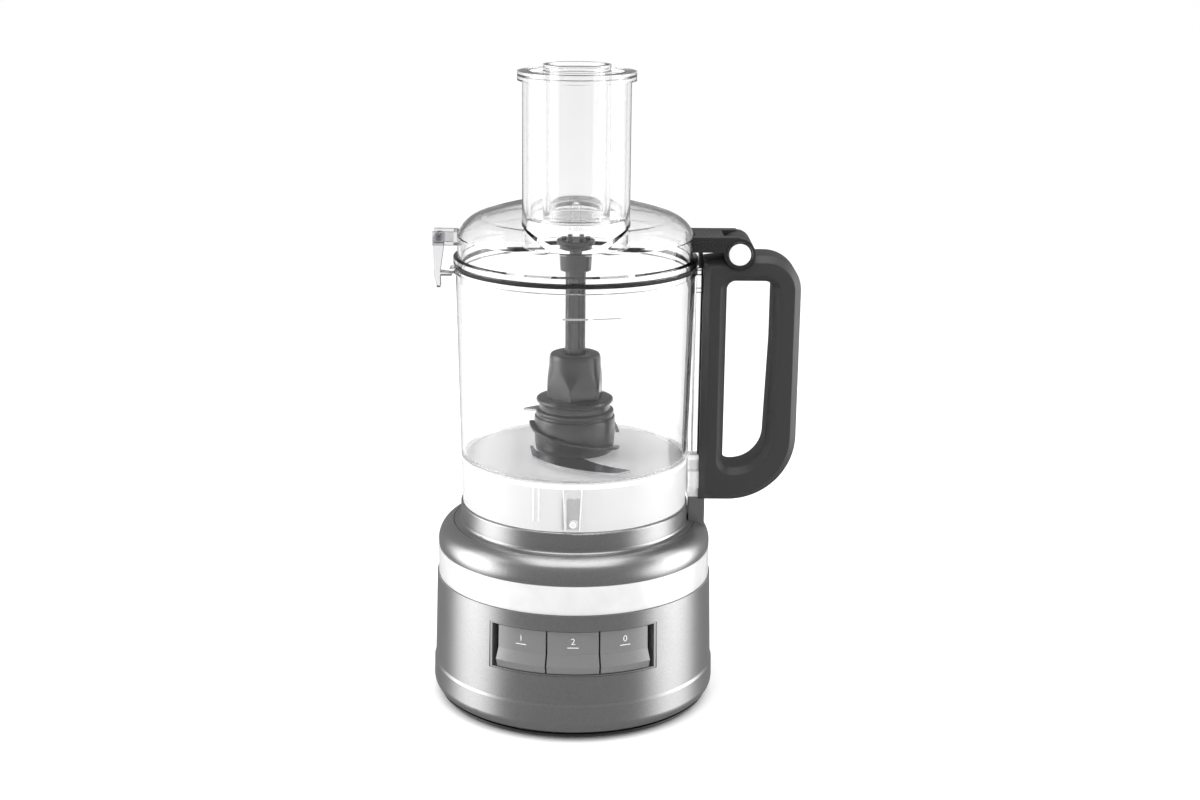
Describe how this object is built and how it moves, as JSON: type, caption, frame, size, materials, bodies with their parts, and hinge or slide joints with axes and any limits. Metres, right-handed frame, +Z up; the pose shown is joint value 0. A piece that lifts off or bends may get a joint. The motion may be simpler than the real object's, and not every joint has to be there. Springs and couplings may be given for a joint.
{
  "type": "food processor",
  "caption": "Countertop food processor with a round motor base, clear bowl and handle, hinged lid with feed chute and pushers.",
  "frame": {"origin": "on the drive spindle's axis, in the plane of the bench that the foot ring stands on", "axes": "+Z up along the spindle, +X towards the bowl's handle, -Y towards the buttons"},
  "size_m": [0.2508, 0.2002, 0.4445],
  "materials": {
    "silver_paint": "satin",
    "bright_band": "satin",
    "clear_plastic": "polished",
    "dark_plastic": "fine grain",
    "black_plastic": "plain",
    "button_plastic": "satin",
    "white_plastic": "satin",
    "black_rubber": "plain",
    "steel": "brushed",
    "spring_steel": "plain",
    "bearing_steel": "polished",
    "iron": "laminated",
    "copper": "enamelled wire",
    "carbon": "pressed carbon",
    "board_green": "solder mask",
    "aluminium_casting": "cast"
  },
  "bodies": {
    "base": {"base_housing": "silver_paint", "shoulder_cover": "silver_paint", "interlock_tower": "silver_paint", "bowl_deck": "silver_paint", "trim_band": "bright_band", "bottom_plate": "black_plastic", "foot_ring": "black_rubber", "base_screws": "steel", "plunger_spring": "spring_steel", "interlock_switch": "black_plastic", "cord_gland": "black_rubber", "button_bezel": "black_plastic", "low_spring": "spring_steel", "high_spring": "spring_steel", "pulse_spring": "spring_steel", "button_switches": "black_plastic", "control_board": "board_green", "motor_bracket": "aluminium_casting", "motor_end_cap": "aluminium_casting", "motor_spacers": "steel", "motor_bearings": "bearing_steel", "motor_stator": "iron", "stator_windings": "copper", "carbon_brushes": "carbon", "drive_belt": "black_rubber", "spindle_bearings": "bearing_steel"},
    "rotor": {"motor_shaft": "steel", "armature": "iron", "commutator": "copper", "cooling_fan": "black_plastic", "motor_pulley": "aluminium_casting"},
    "spindle": {"drive_spindle": "steel", "spindle_pulley": "dark_plastic"},
    "low_button": {"low_button": "button_plastic"},
    "high_button": {"high_button": "button_plastic"},
    "pulse_button": {"pulse_button": "button_plastic"},
    "plunger": {"interlock_plunger": "black_plastic"},
    "bowl": {"bowl": "clear_plastic", "handle": "dark_plastic", "handle_screws": "steel", "hinge_pin": "steel", "hinge_caps": "white_plastic"},
    "rod": {"interlock_rod": "clear_plastic"},
    "blade": {"blade_hub": "dark_plastic", "lower_blade": "steel", "upper_blade": "steel", "drive_shaft": "dark_plastic", "shaft_crown": "dark_plastic"},
    "lid": {"lid": "clear_plastic", "lid_seal": "black_rubber", "hinge_arm": "dark_plastic", "latch_bracket": "clear_plastic", "latch_pin": "steel", "latch_spring": "spring_steel"},
    "latch": {"latch_lever": "clear_plastic"},
    "large_pusher": {"large_pusher": "clear_plastic"},
    "small_pusher": {"small_pusher": "clear_plastic"}
  },
  "joints": [
    {"name": "spindle_turn", "type": "hinge", "parent": "base", "child": "spindle", "pos_m": [0, 0, 0.1], "axis": [0, 0, 1], "continuous": true},
    {"name": "rotor_turn", "type": "hinge", "parent": "base", "child": "rotor", "pos_m": [0, 0.054, 0.06], "axis": [0, 0, 1], "continuous": true},
    {"name": "low_button_press", "type": "slide", "parent": "base", "child": "low_button", "axis": [0.3681, 0.9298, 0], "range_m": [0, 0.0025], "stiffness_N_per_m": 400, "springref_m": -0.001, "deforming": ["low_spring"]},
    {"name": "high_button_press", "type": "slide", "parent": "base", "child": "high_button", "axis": [0, 1, 0], "range_m": [0, 0.0025], "stiffness_N_per_m": 400, "springref_m": -0.001, "deforming": ["high_spring"]},
    {"name": "pulse_button_press", "type": "slide", "parent": "base", "child": "pulse_button", "axis": [-0.3681, 0.9298, 0], "range_m": [0, 0.0025], "stiffness_N_per_m": 400, "springref_m": -0.001, "deforming": ["pulse_spring"]},
    {"name": "bowl_lift", "type": "slide", "parent": "base", "child": "bowl", "axis": [0, 0, 1], "range_m": [0, 0.09]},
    {"name": "blade_turn", "type": "hinge", "parent": "bowl", "child": "blade", "pos_m": [0, 0, 0.2], "axis": [0, 0, 1], "continuous": true},
    {"name": "lid_hinge", "type": "hinge", "parent": "bowl", "child": "lid", "pos_m": [0.1094, 0, 0.3178], "axis": [0, 1, 0], "range_deg": [0, 95]},
    {"name": "rod_slide", "type": "slide", "parent": "bowl", "child": "rod", "axis": [0, 0, 1], "range_m": [0, 0.004]},
    {"name": "plunger_slide", "type": "slide", "parent": "base", "child": "plunger", "axis": [0, 0, 1], "range_m": [0, 0.004]},
    {"name": "latch_swing", "type": "hinge", "parent": "lid", "child": "latch", "pos_m": [-0.0925, 0, 0.325], "axis": [0, 1, 0], "range_deg": [0, 25], "stiffness_Nm_per_rad": 0.02, "springref_deg": -11.46},
    {"name": "large_pusher_slide", "type": "slide", "parent": "lid", "child": "large_pusher", "axis": [0, 0, 1], "range_m": [0, 0.1]},
    {"name": "small_pusher_slide", "type": "slide", "parent": "large_pusher", "child": "small_pusher", "axis": [0, 0, 1], "range_m": [0, 0.105]}
  ],
  "couplings": [
    {"joint": "rotor_turn", "follows": "spindle_turn", "ratio": 4},
    {"joint": "blade_turn", "follows": "spindle_turn", "ratio": 1},
    {"joint": "rod_slide", "follows": "lid_hinge", "m_per_rad": 0.0024},
    {"joint": "plunger_slide", "follows": "lid_hinge", "m_per_rad": 0.0024}
  ]
}
